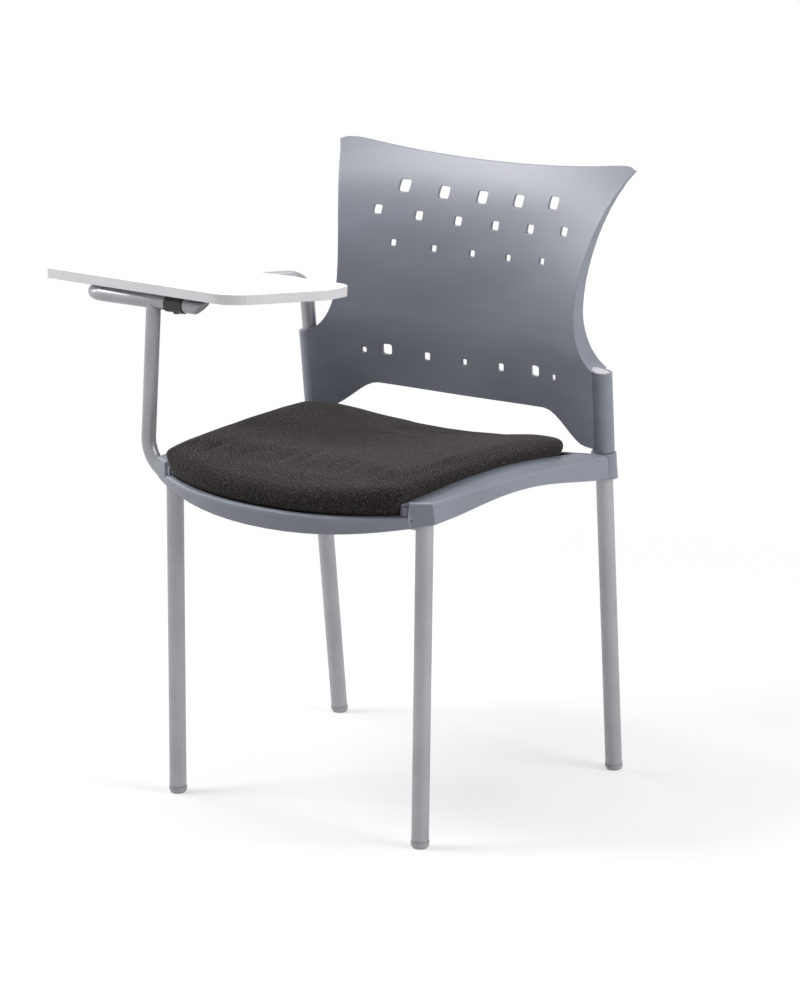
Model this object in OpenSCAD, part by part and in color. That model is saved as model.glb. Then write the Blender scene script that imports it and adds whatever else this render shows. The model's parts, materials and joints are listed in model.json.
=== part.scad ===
// Tablet arm chair: four steel legs, a moulded seat tray with a woven cushion,
// a moulded perforated backrest on the two rear uprights, and a bent arm tube
// with a writing tablet that tips up about a nylon collar.
// X runs to the sitter's left, Y to the back, Z up from the floor.

/* [Steel frame] */
// Outer radius of the leg tubes
leg_r = 11; // [10:0.5:12.5]
// Wall of the leg tubes
leg_wall = 1.4; // [1:0.1:2]
// Outer radius of the side rails under the seat
rail_r = 8; // [7:0.25:8.5]
// Arch of the side rails at half length
rail_arch = 6; // [4:0.5:8]
// Bend radius at the top of a side rail's arch
rail_bend = 1500; // [800:50:2000]
// Outer radius of the cross tubes under the seat
cross_r = 6; // [5:0.25:7]
// Wall of the rails, the arm tube and the carrier
tube_wall = 1.5; // [1:0.1:2]
// How far the front feet stand inside the tray's front corners
front_foot_inset = 23.4; // [22:0.2:25]
// Distance of the front feet ahead of the middle of the seat
front_foot_y = 235; // [232:0.5:240]
// How far the rear feet stand inside the tray's sides at the sockets
rear_foot_inset = 20.7; // [17:0.1:26]
// Distance of the rear feet behind the middle of the seat
rear_foot_y = 167.5; // [162:0.5:172]
// Radius of the plastic glides
glide_r = 11.6; // [11:0.1:14]
// Height of a glide below the tube end
glide_h = 9; // [6:0.5:14]
// Length of a glide's stub in the tube
glide_stub = 24; // [12:1:40]

/* [Seat] */
// Height of the seat tray's front lip at its corners
seat_z = 431; // [380:1:470]
// Half the width of the tray at its front corners
tray_front_half = 213; // [208:0.5:218]
// Half the width of the tray at the rear sockets
tray_rear_half = 242.5; // [240:0.5:244]
// Distance of the tray's front corners ahead of the middle of the seat
tray_front_y = 241; // [238:0.5:250]
// Bulge of the front lip ahead of its corners
lip_bulge = 62; // [50:1:70]
// Drop of the front lip below the corners' level beside the horns
lip_drop = 2.5; // [0:0.5:4]
// Sag of the front lip's edge at the middle
lip_sag = 9.5; // [0:0.5:11]
// Distance of the tray's rear edge behind the middle of the seat
tray_rear_y = 111; // [106:0.5:112]
// Height of the side rims above the lip at the front corners
rim_front_rise = 13; // [11:0.5:18]
// Arch of the side rims' outer edges at half length
rim_arch = 4; // [0:0.5:12]
// Arch of the recess's side edges at half length
recess_arch = 12; // [4:0.5:16]
// Depth of the skirt below the lip at the front corners
skirt_drop = 15; // [14:0.5:22]
// Sag of the skirt's lower edge at the middle of the front
skirt_sag = 24; // [10:0.5:26]
// How far the skirt's lower edge is tucked in behind the front lip
skirt_tuck = 9; // [0:0.5:14]
// Arch of the skirt's lower edge at half length
skirt_arch = 15.5; // [6:0.5:17]
// Width of the side rims at the front
rim_w = 37.5; // [34:0.5:38]
// Wall of the mouldings
tray_wall = 3; // [2:0.1:3.5]
// Radius of the rear sockets at their top
socket_r = 16.5; // [15.5:0.25:18]
// Flare of the rear sockets towards their foot
socket_flare = 1.2; // [0:0.2:3]
// Thickness of the cushion's board
board_base_t = 8; // [5:0.5:9]
// Crown of the cushion above the lip at the sides of the seat
cushion_crown = 37; // [26:0.5:44]
// Dish of the cushion along its middle, at the rear
cushion_dish = 18; // [0:0.5:22]
// How far the cushion bulges over the rims
cushion_bulge = 8.5; // [4:0.5:10]

/* [Backrest] */
// Height of the backrest's foot above the lip
sleeve_foot_rise = 12; // [10:0.5:20]
// How far the sleeves reach below the backrest's foot
sleeve_drop = 3.5; // [0:0.5:6]
// Outer radius of the sleeves round the uprights
sleeve_r = 14.4; // [13.6:0.2:16]
// Height of the sleeves' top above the lip
sleeve_top_rise = 113; // [105:1:120]
// Height of the waist above the lip
waist_rise = 184; // [176:1:194]
// How far the backrest's waist lies inside the sleeves' outer sides
waist_inset = 57.4; // [51:0.2:65]
// Height of the top corners above the lip
corner_rise = 368; // [350:1:390]
// How far the top corners stand outside the waist
corner_flare = 45; // [38:0.5:54]
// Sag of the top edge at the middle
top_sag = 19; // [8:1:24]
// Height of the lower opening above the lip
gap_rise = 48; // [40:1:54]
// Distance of the backrest's foot behind the middle of the seat
back_y = 137; // [132:0.5:142]
// Recline and curl of the backrest from foot to top
back_curl = 69; // [40:1:80]
// How far the panel comes forward from its middle to its widest place
edge_wrap = 52; // [44:0.5:56]
// Wall of the backrest
back_wall = 4.5; // [3.5:0.1:6]
// Depth of the flange where it leaves the sleeves
flange_d = 35; // [28:0.5:40]
// Pitch of the perforations across the backrest
hole_pitch = 58.2; // [52:0.5:60]

/* [Arm and tablet] */
// Outer radius of the arm tube, its post and the carrier
arm_r = 9.5; // [8:0.25:9.5]
// Height of the tablet's pivot above the lip
pivot_rise = 202; // [185:1:220]
// Distance of the pivot ahead of the middle of the seat
pivot_y = 200; // [192:1:206]
// Fall of the tablet towards the sitter in degrees
tablet_pitch = 3; // [0:0.5:4]
// Distance of the arm's front corner to the sitter's right
arm_corner_x = 370; // [350:1:376]
// Bend radius of the arm's front corner
arm_front_bend = 28; // [24:1:36]
// Bend radius of the arm above the upright
arm_rear_bend = 30; // [24:1:40]
// Distance of the collar's inner end to the sitter's right
collar_x = 194; // [180:1:205]
// Length of the collar
collar_l = 28; // [24:1:36]
// Outer radius of the collar
collar_r = 10.8; // [10.4:0.1:11]
// Radius of the pivot pin
pin_r = 6; // [4:0.25:6.5]
// Reach of the carrier tube past the collar
carrier_reach = 36; // [32:1:46]
// Slope of the carrier tube's cut end in degrees
carrier_rise = 44; // [35:1:60]
// Thickness of the plate under the tablet
plate_t = 2; // [1.6:0.1:3]
// Width of the plate under the tablet
plate_w = 68; // [56:1:80]
// Length of the plate under the tablet
plate_l = 104; // [80:1:115]
// Bend radius at the foot of the post
post_bend = 46; // [40:1:52]
// How far the post stands outside the tray's front corner at its top
post_out = 32; // [27:1:43]
// Thickness of the tablet
tablet_t = 12.5; // [10:0.5:20]
// Depth of the tablet behind the pivot
tablet_d = 166; // [155:1:185]
// Distance of the tablet's outer edge to the sitter's right
tablet_out = 418.5; // [400:1:436]
// Distance of the tablet's inner edge to the sitter's right
tablet_in = 49; // [40:1:60]

/* [Hidden] */

// Facets of round parts, and of children of a hull
$fn = 48;
// Overrun of cuts past the faces that they open
over = 1;
// Gap of one tube in another, of seated pieces and of coped tube ends
fit_gap = 0.1;
seat_gap = 0.3;
cope_gap = 0.2;
// Running fit of the pivot pin in its collar
run_gap = 0.05;

steel = "silver";
plastic = "slategray";

// Directions and tube paths
function unit(v) = v / norm(v);
function turn_angle(a, b) = acos(max(-1, min(1, unit(a) * unit(b))));
function mix(a, b, t) = a + (b - a) * t;
function clamp01(t) = max(0, min(1, t));
function smooth(t) = let (c = clamp01(t)) c * c * (3 - 2 * c);
function mirror_x(p, side) = [side * p[0], p[1], p[2]];

// Leg axes: a point on the axis at height z, for the left side
front_foot_x = tray_front_half - front_foot_inset;
rear_foot_x = tray_rear_half - rear_foot_inset;
front_lean_share = [0.0055, 0.014, 1];
rear_lean_share = [0.0125, -0.102, 1];
function front_axis(z) = [front_foot_x, -front_foot_y, 0] + z * front_lean_share;
function rear_axis(z) = [rear_foot_x, rear_foot_y, 0] + z * rear_lean_share;

// Levels of the seat
pan_drop = 1;
pan_top = seat_z - lip_drop - lip_sag - pan_drop;
pan_under = pan_top - tray_wall;
horn_roof_share = 3;
front_leg_top = seat_z + rim_front_rise - horn_roof_share * tray_wall;
rail_front_z = front_leg_top - rail_r - over;
rail_rear_z = seat_z - rail_r - 2 * over;
cross_z = pan_under - seat_gap - cross_r;
upright_top = seat_z + sleeve_top_rise - leg_r - over;

// Levels of the backrest
sleeve_foot = seat_z + sleeve_foot_rise;
sleeve_end = sleeve_foot - sleeve_drop;
sleeve_top = seat_z + sleeve_top_rise;
waist_z = seat_z + waist_rise;
corner_z = seat_z + corner_rise;
gap_z = seat_z + gap_rise;
sleeve_out = rear_axis(sleeve_top)[0] + sleeve_r;
waist_half = sleeve_out - waist_inset;
corner_half = waist_half + corner_flare;

// Screws
screw_r = 2.5;
screw_head_r = 4.6;
screw_head_h = 2.6;

// The frame of the whole part: middle of its outline, on the floor
skirt_end_share = 1.62;
socket_foot_share = 1.8;
socket_foot = seat_z - socket_foot_share * skirt_drop;
x_max = rear_axis(socket_foot)[0] + socket_r + socket_flare;
y_min = -tray_front_y - lip_bulge;
y_max = back_y + back_curl + back_wall;
origin_shift = [(tablet_out - x_max) / 2, -(y_min + y_max) / 2, 0];
module in_frame() {
    translate(origin_shift) children();
}

// A straight rod from a to b, turned about its own axis by a spin
module rod(a, b, r, r2 = 0, spin = 0) {
    d = b - a;
    translate(a)
        rotate([0, acos(d[2] / norm(d)), atan2(d[1], d[0])])
            rotate(spin)
                cylinder(h = norm(d), r1 = r, r2 = r2 > 0 ? r2 : r);
}

// A tube through the points p, bent with the radii b at the inner points. A bend
// is a hair thinner than the straights, which lap its ends
bend_thin = 0.02;
bend_lap = 0.4;
module bent_rod(p, b, r, hole = 0) {
    n = len(p) - 1;
    dirs = [for (i = [0:n - 1]) unit(p[i + 1] - p[i])];
    turns = [for (i = [0:n]) i == 0 || i == n ? 0 : turn_angle(dirs[i - 1], dirs[i])];
    cuts = [for (i = [0:n]) b[i] * tan(turns[i] / 2)];
    for (i = [0:n - 1]) {
        a = p[i] + dirs[i] * (cuts[i] - (i > 0 ? bend_lap : 0));
        e = p[i + 1] - dirs[i] * (cuts[i + 1] - (i < n - 1 ? bend_lap : 0));
        difference() {
            rod(a, e, r);
            if (hole > 0) rod(a - over * dirs[i], e + over * dirs[i], hole);
        }
    }
    for (i = [1:1:n - 1]) {
        c = p[i] + unit(dirs[i] - dirs[i - 1]) * b[i] / cos(turns[i] / 2);
        u = unit(p[i] - dirs[i - 1] * cuts[i] - c);
        v = dirs[i - 1];
        w = cross(u, v);
        multmatrix([for (a = [0:2]) [u[a], v[a], w[a], c[a]]])
            rotate_extrude(angle = turns[i]) translate([b[i], 0]) difference() {
                circle(r - bend_thin);
                if (hole > 0) circle(hole + bend_thin);
            }
    }
}

// An outline with its corners rounded to the radii r, in steps points a corner
function rounded(pts, r, steps) = [
    for (i = [0:len(pts) - 1])
        let (
            p = pts[i],
            a = unit(pts[(i + len(pts) - 1) % len(pts)] - p),
            b = unit(pts[(i + 1) % len(pts)] - p),
            half = turn_angle(a, b) / 2,
            c = p + unit(a + b) * r[i] / sin(half),
            s = p + a * r[i] / tan(half) - c,
            way = a[0] * b[1] - a[1] * b[0] > 0 ? -1 : 1
        )
        for (k = [0:steps])
            let (t = way * 2 * k * (90 - half) / steps)
            c + [s[0] * cos(t) - s[1] * sin(t), s[0] * sin(t) + s[1] * cos(t)]
];

// Faces of a closed skin over rings of n points, capped by a fan at each end
function ring_faces(rings, n) = [
    for (k = [0:rings - 2], i = [0:n - 1])
        let (j = (i + 1) % n, a = k * n + i, b = k * n + j, c = a + n, d = b + n)
        for (f = [[a, d, b], [a, c, d]]) f
];
function fan_faces(start, n, tip, flip) = [
    for (i = [0:n - 1])
        let (a = start + i, b = start + (i + 1) % n)
        flip ? [tip, b, a] : [tip, a, b]
];
module ring_skin(rings) {
    n = len(rings[0]);
    m = len(rings);
    middle = function (ring) [
        for (a = [0:2])
            let (c = [for (p = ring) p[a]])
            (min(c) + max(c)) / 2
    ];
    polyhedron(
        points = [for (ring = rings) for (p = ring) p, middle(rings[0]), middle(rings[m - 1])],
        faces = concat(
            ring_faces(m, n),
            fan_faces(0, n, m * n, false),
            fan_faces((m - 1) * n, n, m * n + 1, true)
        ),
        convexity = 6
    );
}

// Legs, glides and rails
module leg_tube(a, b, r) {
    difference() {
        rod(a, b, r);
        rod(a - over * unit(b - a), b + over * unit(b - a), r - leg_wall);
    }
}
module front_leg(side) {
    a = front_axis(glide_h);
    b = front_axis(front_leg_top);
    color(steel) in_frame() leg_tube(mirror_x(a, side), mirror_x(b, side), leg_r);
}
back_screw_z = seat_z + 2 * leg_r + sleeve_foot_rise;
module rear_leg(side) {
    a = rear_axis(glide_h);
    b = rear_axis(upright_top);
    s = mirror_x(rear_axis(back_screw_z), side);
    color(steel) in_frame() difference() {
        leg_tube(mirror_x(a, side), mirror_x(b, side), leg_r);
        rod(s, s + [0, sleeve_r, 0], screw_r + fit_gap);
    }
}
glide_foot_shares = [0.8, 1.8];
module glide(foot, lean, side) {
    a = mirror_x(foot(0), side);
    b = mirror_x(foot(glide_h), side);
    ends = glide_r * glide_foot_shares;
    dir = mirror_x(unit(lean), side);
    color("gray") in_frame() {
        intersection() {
            rod(a - glide_h * dir, b - seat_gap * dir, glide_r);
            translate([a[0], a[1], 0]) cylinder(h = 2 * glide_h, r1 = ends[0], r2 = ends[1]);
        }
        rod(b - glide_h * dir / 2, b + glide_stub * dir, leg_r - leg_wall - fit_gap);
    }
}

// Side rails run from leg to leg in a low arch and are coped to both
rail_front = front_axis(rail_front_z);
rail_rear = rear_axis(rail_rear_z);
function on_rail(t) = mix(rail_front, rail_rear, t) + [0, 0, 2 * rail_arch * min(t, 1 - t)];
seat_screw_shares = [0.24, 0.78];
module side_rail(side) {
    path = [for (t = [0, 0.5, 1]) mirror_x(on_rail(t), side)];
    color(steel) in_frame() difference() {
        bent_rod(path, [0, rail_bend, 0], rail_r, rail_r - tube_wall);
        rod(mirror_x(front_axis(0), side), mirror_x(front_axis(2 * rail_front_z), side), leg_r + cope_gap);
        rod(mirror_x(rear_axis(0), side), mirror_x(rear_axis(2 * rail_rear_z), side), leg_r + cope_gap);
        for (t = seat_screw_shares)
            translate(mirror_x(on_rail(t), side) - [0, 0, 2 * rail_r])
                cylinder(h = 4 * rail_r, r = screw_r + fit_gap);
    }
}
module cross_tube(p, axis) {
    difference() {
        rod(mirror_x(p, -1), p, cross_r);
        rod(mirror_x(p, -1), p, cross_r - tube_wall);
        for (side = [-1, 1])
            rod(mirror_x(axis(0), side), mirror_x(axis(2 * p[2]), side), leg_r + cope_gap);
    }
}
module front_cross_tube() {
    color(steel) in_frame() cross_tube(front_axis(cross_z), function (z) front_axis(z));
}
module rear_cross_tube() {
    color(steel) in_frame() cross_tube(rear_axis(cross_z), function (z) rear_axis(z));
}

// The socket under the right rail that takes the foot of the arm's post
socket_tube_r = arm_r + fit_gap + tube_wall;
socket_share = (rail_front[1] + pivot_y) / (rail_front[1] - rail_rear[1]);
post_foot_z = on_rail(socket_share)[2] - rail_r - cope_gap - socket_tube_r;
post_x = tray_front_half + post_out;
post_lean_share = 0.065;
socket_out_x = post_x + post_lean_share * (seat_z + pivot_rise - post_foot_z) - post_bend;
socket_long_share = 2.4;
socket_l = socket_long_share * socket_tube_r;
module arm_socket() {
    a = [-socket_out_x + 2 * over, -pivot_y, post_foot_z];
    b = [-socket_out_x + socket_l, -pivot_y, post_foot_z];
    color(steel) in_frame() difference() {
        rod(a, b, socket_tube_r);
        rod(a - [over, 0, 0], b + [over, 0, 0], arm_r + fit_gap);
    }
}

// Seat tray: places round its outline, as rings of the same count. The steps across
// the front are even turns, or are drawn together where a horn ends in a wall
arc_steps = 30;
side_steps = 16;
rear_steps = 14;
horn_steps = 4;
lip_power = 2.4;
side_power = 0.75;
even_steps = [for (i = [0:arc_steps]) cos(180 * i / arc_steps)];
function drawn_steps(shares) =
    let (
        rest = arc_steps / 2 - horn_steps - 1,
        half = concat(
            [for (k = [0:horn_steps]) mix(1, shares[0], k / horn_steps)],
            [for (k = [0:rest]) shares[1] * cos(90 * k / rest)]
        )
    )
    concat(half, [for (k = [arc_steps / 2 - 1:-1:0]) -half[k]]);
outer_steps = drawn_steps([0.885, 0.878]);
skirt_steps = drawn_steps([0.913, 0.906]);
wall_steps = drawn_steps([0.998, 0.99]);
inner_steps = drawn_steps([0.995, 0.987]);
function bow(x, half) = 1 - pow(min(1, abs(x) / half), lip_power);
function lip_y(x, half, bulge) = -tray_front_y - bulge * bow(x, half);
function rail_share(y) = clamp01((y + tray_front_y) / (tray_rear_y + tray_front_y));
// Draws a place in to a corner radius r about c
function cornered(p, c, r) =
    abs(p[0]) > c[0] && p[1] > c[1]
        ? let (m = [sign(p[0]) * c[0], c[1]]) m + min(r, norm(p - m)) * unit(p - m)
        : p;
// One ring: front lip by x, left side by y, rear edge, right side
function tray_ring(steps, front_half, rear_half, front_y, bulge, rear_y, corner) =
    let (
        c = [rear_half - corner, rear_y - corner],
        side = [for (i = [0:side_steps]) pow(i / side_steps, side_power)],
        ring = concat(
            [for (t = steps) let (x = -front_half * t) [x, front_y - bulge * bow(x, front_half)]],
            [for (i = [1:side_steps]) mix([front_half, front_y], [rear_half, rear_y], side[i])],
            [for (i = [1:rear_steps - 1]) [rear_half * cos(180 * i / rear_steps), rear_y]],
            [for (i = [side_steps:-1:1]) mix([-front_half, front_y], [-rear_half, rear_y], side[i])]
        )
    )
    corner > 0 ? [for (p = ring) cornered(p, c, corner)] : ring;
function tray_outer(inset, steps = outer_steps) = tray_ring(
    steps, tray_front_half - inset, tray_rear_half - inset,
    -tray_front_y + inset / 2, lip_bulge - inset / 2, tray_rear_y - inset, 0
);
// The lower edge of the skirt, tucked in at the front
tuck_share = 0.4;
function skirt_ring(inset, steps) = tray_ring(
    steps, tray_front_half - inset, tray_rear_half - inset,
    -tray_front_y + inset / 2 + tuck_share * skirt_tuck,
    lip_bulge - inset / 2 - (1 - tuck_share) * skirt_tuck,
    tray_rear_y - inset, 0
);
lip_w = 10;
rear_rim_share = 1.16;
inner_front_half = tray_front_half - rim_w;
inner_rear_half = tray_rear_half - rear_rim_share * rim_w;
inner_front_y = lip_y(inner_front_half, tray_front_half, lip_bulge) + lip_w;
inner_bulge = lip_bulge * bow(0, 1) - lip_bulge * bow(inner_front_half, tray_front_half);
function tray_inner(inset, steps = inner_steps, corner = 0) = tray_ring(
    steps, inner_front_half - inset, inner_rear_half - inset, inner_front_y + inset, inner_bulge,
    tray_rear_y - lip_w - inset, corner
);
function pad_ring(inset, corner) = tray_inner(inset, even_steps, corner);
// Which places of a ring are on the rims: 1 on the sides, 0 on the lip and at the rear
tail_fade_shares = [0.6, 0.35];
function tail_across(i) = abs(cos(180 * (i - arc_steps - side_steps) / rear_steps));
function rim_share(i) =
    i <= arc_steps
        ? (i <= horn_steps || i >= arc_steps - horn_steps ? 1 : 0)
        : i <= arc_steps + side_steps || i >= arc_steps + side_steps + rear_steps
            ? 1
            : smooth((tail_across(i) - tail_fade_shares[0]) / tail_fade_shares[1]);
function lip_level(i) =
    i <= arc_steps ? seat_z - lip_drop - lip_sag * (1 - pow(outer_steps[i], 2)) : seat_z;
rim_end_share = 0.5;
recess_end_share = 0.25;
function rim_level(t) =
    seat_z + mix(1, rim_end_share, t) * rim_front_rise + rim_arch * sin(180 * t);
function inner_rim_level(t) =
    seat_z + mix(rim_front_rise - tray_wall, recess_end_share * rim_front_rise, t)
        + recess_arch * sin(180 * t);
function crest_z(i, p) = mix(lip_level(i), rim_level(rail_share(p[1])), rim_share(i));
function inner_crest_z(i, p) =
    mix(lip_level(i), inner_rim_level(rail_share(p[1])), rim_share(i));
skirt_power = 1.5;
function skirt_z(i, p) =
    let (t = rail_share(p[1]))
    i <= arc_steps
        ? seat_z - skirt_drop - skirt_sag * (1 - pow(outer_steps[i], 2))
        : seat_z - mix(1, skirt_end_share, t) * skirt_drop + skirt_arch * pow(sin(180 * t), skirt_power);
function lifted(ring, level) = [for (i = [0:len(ring) - 1]) [ring[i][0], ring[i][1], level(i, ring[i])]];

// Rounding of the rims: inset and drop in shares of the wall
edge_shares = [[0.3, 1.6], [0.7, 0.6], [1.6, 0]];
inner_edge_shares = [[-0.5, 0], [0, 0.5]];
roof_shares = [1.3, 1.7];
module tray_body() {
    outer = tray_outer(0);
    skirt_in = tray_outer(tray_wall, skirt_steps);
    inner = tray_inner(0);
    wall_in = tray_inner(-tray_wall, wall_steps);
    roof_low = pan_under + over;
    ring_skin(concat(
        [
            lifted(inner, function (i, p) pan_under),
            lifted(wall_in, function (i, p) pan_under),
            lifted(wall_in, function (i, p) max(roof_low, inner_crest_z(i, p) - roof_shares[0] * tray_wall)),
            lifted(
                skirt_in,
                function (i, p) max(roof_low, crest_z(i, outer[i]) - roof_shares[1] * tray_wall)
            ),
            lifted(skirt_ring(tray_wall, skirt_steps), function (i, p) skirt_z(i, outer[i])),
            lifted(skirt_ring(0, outer_steps), function (i, p) skirt_z(i, outer[i]))
        ],
        [for (e = edge_shares)
            lifted(tray_outer(e[0] * tray_wall), function (i, p) crest_z(i, outer[i]) - e[1] * tray_wall)],
        [for (e = inner_edge_shares)
            lifted(
                tray_inner(e[0] * tray_wall),
                function (i, p) inner_crest_z(i, inner[i]) - e[1] * tray_wall
            )],
        [lifted(inner, function (i, p) pan_top)]
    ));
}
// A rear socket, flared to its foot
socket_sides = 36;
socket_level_shares = [0, 0.3, 0.65, 1];
module socket_body(side) {
    ring_skin([
        for (t = socket_level_shares)
            let (
                z = mix(socket_foot, sleeve_end - 2 * over, t),
                c = mirror_x(rear_axis(z), side),
                r = socket_r + socket_flare * pow(1 - t, 2)
            )
            [for (i = [1:socket_sides])
                let (a = 180 * (2 * i - 1) / socket_sides)
                c + r * [cos(a), sin(a), 0]]
    ]);
}
rail_tail_share = 0.85;
seat_boss_share = 2.4;
seat_boss_r = seat_boss_share * screw_r;
module seat_bosses() {
    for (side = [-1, 1], t = seat_screw_shares) {
        p = mirror_x(on_rail(t), side);
        share = rail_share(p[1]);
        roof = (rim_level(share) + inner_rim_level(share)) / 2 - tray_wall;
        translate(p + [0, 0, rail_r + 2 * seat_gap]) cylinder(h = roof - p[2] - rail_r, r = seat_boss_r);
    }
}
module seat_shell() {
    color(plastic) in_frame() difference() {
        union() {
            tray_body();
            seat_bosses();
            for (side = [-1, 1]) socket_body(side);
        }
        for (side = [-1, 1]) {
            rod(
                mirror_x(rear_axis(socket_foot - skirt_drop), side),
                mirror_x(rear_axis(sleeve_foot + skirt_drop), side),
                leg_r + fit_gap, spin = 180
            );
            rod(mirror_x(on_rail(rail_tail_share), side), mirror_x(rail_rear, side), rail_r + seat_gap);
        }
        rod(mirror_x(rear_axis(cross_z), -1), rear_axis(cross_z), cross_r + seat_gap);
        for (side = [-1, 1], t = seat_screw_shares)
            translate(mirror_x(on_rail(t), side))
                cylinder(h = rail_r + seat_screw_bite + over, r = screw_r + fit_gap);
        at_board_screws(pan_under - over) cylinder(h = tray_wall + 2 * over, r = screw_r + fit_gap);
    }
}

// Screws up through the rails into the tray's bosses
seat_screw_bite = 5;
module seat_screws() {
    color(steel) in_frame() for (side = [-1, 1], t = seat_screw_shares)
        translate(mirror_x(on_rail(t), side) - [0, 0, rail_r + seat_gap + screw_head_h]) {
            cylinder(h = screw_head_h, r = screw_head_r);
            cylinder(h = screw_head_h + seat_gap + 2 * rail_r + seat_screw_bite, r = screw_r);
        }
}
board_inset_share = 0.25;
module cushion_board() {
    color("tan") in_frame() difference() {
        translate([0, 0, pan_top])
            linear_extrude(board_base_t) polygon(pad_ring(board_inset_share * rim_w, cushion_corner));
        at_board_screws(pan_top - over) cylinder(h = over + board_bite + fit_gap, r = screw_r + fit_gap);
    }
}
// Screws up through the pan into the cushion's board
board_bite = 5;
board_screw_shares = [0.3, 0.75];
module at_board_screws(z) {
    for (side = [-1, 1], t = board_screw_shares)
        translate([side * inner_front_half / 2, mix(-tray_front_y, tray_rear_y, t), z]) children();
}
module board_screws() {
    color(steel) in_frame() at_board_screws(pan_under - screw_head_h) {
        cylinder(h = screw_head_h, r = screw_head_r);
        cylinder(h = screw_head_h + tray_wall + board_bite, r = screw_r);
    }
}

// Cushion: rings from the recess over its board, round the bulging sides, to the crown
cushion_corner = 58;
dish_power = 1.7;
dish_shares = [0.4, 1];
fall_start_share = 0.75;
fall_share = 0.32;
rear_fall_share = 0.27;
pad_horn_share = 0.96;
function crown_z(p) =
    let (
        t = rail_share(p[1]),
        across = min(1, abs(p[0]) / inner_rear_half),
        fall_y = -fall_start_share * tray_front_y,
        fall = max(0, fall_y - p[1]) / (fall_y + tray_front_y + lip_bulge)
    )
    seat_z + cushion_crown
        - cushion_dish * (1 - pow(across, dish_power)) * mix(dish_shares[0], dish_shares[1], t)
        - cushion_crown * (fall_share * pow(fall, 3) + rear_fall_share * pow(t, 3));
// Rows of the side: bulge, and rise from the rim to the crown, in shares
side_row_shares = [[0.5, 0.06], [0.9, 0.24], [1, 0.42], [0.94, 0.62], [0.62, 0.82], [0, 0.95]];
// Rows of the top, drawn in to the middle
top_row_shares = [0.86, 0.7, 0.48, 0.22];
module cushion_body() {
    edge = pad_ring(seat_gap, cushion_corner);
    hole = pad_ring(board_inset_share * rim_w - seat_gap, cushion_corner);
    centre = [0, -lip_bulge];
    base = function (i)
        let (on_lip = i <= arc_steps && abs(even_steps[i]) < pad_horn_share)
        over + (on_lip ? lip_level(i) : inner_rim_level(rail_share(edge[i][1])));
    ring_skin(concat(
        [
            lifted(hole, function (i, p) pan_top + board_base_t + seat_gap),
            lifted(hole, function (i, p) pan_top + seat_gap),
            lifted(edge, function (i, p) pan_top + seat_gap),
            lifted(edge, function (i, p) base(i))
        ],
        [for (e = side_row_shares)
            lifted(
                pad_ring(seat_gap - e[0] * cushion_bulge, cushion_corner + e[0] * cushion_bulge),
                function (i, p)
                    mix(base(i), crown_z(edge[i]), e[1]) + 2 * over * min(1, e[1] / side_row_shares[1][1])
            )],
        [for (f = top_row_shares)
            lifted([for (p = edge) centre + (p - centre) * f], function (i, p) crown_z(p) + 2 * over)]
    ));
}
module seat_cushion() {
    color("black") in_frame() cushion_body();
}

// Backrest: outline and surface
flare_w = sleeve_out - waist_half;
flare_h = waist_rise - sleeve_top_rise;
flare_rows = 10;
upper_rows = 10;
lower_rows = 5;
back_cols = 40;
col_power = 0.78;
upper_power = 1.9;
flare_power = 0.83;
wrap_powers = [3, 1.9];
wrap_even_share = 0.38;
curl_power = 3.9;
straight_share = 0.22;
wrap_shares = [
    [0, 0.63], [0.15, 0.775], [0.3, 0.905], [0.37, 0.975], [0.46, 1.015], [0.6, 1.02],
    [0.7, 0.98], [0.8, 0.9], [0.9, 0.8], [0.98, 0.67], [1.06, 0.5]
];
// The panel's face meets the round of the sleeves this far in from their axes
sleeve_lap_share = 0.29;
function flare_x(a) = waist_half + flare_w * (1 - pow(cos(a), flare_power));
flare_end = acos(pow(
    1 - (rear_axis(sleeve_top)[0] - sleeve_lap_share * sleeve_r - waist_half) / flare_w,
    1 / flare_power
));
// A smooth curve through the points of a table of shares
function curve_slope(t, k) =
    let (a = max(0, k - 1), b = min(len(t) - 1, k + 1))
    (t[b][1] - t[a][1]) / (t[b][0] - t[a][0]);
function curve(t, s) =
    let (
        c = max(t[0][0], min(t[len(t) - 1][0], s)),
        k = max([for (i = [0:len(t) - 2]) t[i][0] <= c ? i : 0]),
        h = t[k + 1][0] - t[k][0],
        u = (c - t[k][0]) / h
    )
    mix(t[k][1], t[k + 1][1], smooth(u))
        + h * u * (1 - u) * ((1 - u) * curve_slope(t, k) - u * curve_slope(t, k + 1));
corner_round = 7;
corner_power = 26;
function back_share(z) = (z - seat_z - sleeve_foot_rise) / (corner_rise - top_sag - sleeve_foot_rise);
// Half width and height of the side edge, from foot to top corner
side_edge = [
    for (i = [0:lower_rows - 1])
        let (z = mix(sleeve_foot, waist_z - flare_h * sin(flare_end), i / lower_rows))
        [rear_axis(z)[0] - sleeve_lap_share * sleeve_r, z],
    for (i = [0:flare_rows])
        let (a = flare_end * (1 - i / flare_rows))
        [flare_x(a), waist_z - flare_h * sin(a)],
    for (i = [1:upper_rows])
        let (t = i / upper_rows)
        [waist_half + (corner_half - waist_half) * pow(t, upper_power), mix(waist_z, corner_z, t)]
];
function back_surface(x, z) =
    let (s = back_share(z), power = mix(wrap_powers[0], wrap_powers[1], smooth(s / wrap_even_share)))
    back_y + back_curl * (straight_share * s + (1 - straight_share) * pow(max(0, s), curl_power))
        - edge_wrap * curve(wrap_shares, s) * pow(abs(x) / corner_half, power);
foot_shares = [0.7, 0.4];
foot_arch = 5;
function foot_edge(x) =
    mix(
        gap_z + foot_arch * pow(x / waist_half, 2), sleeve_foot,
        smooth((abs(x) / waist_half - foot_shares[0]) / foot_shares[1])
    );
function top_edge(x) = corner_z - top_sag * (1 - pow(x / corner_half, 2));
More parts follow.
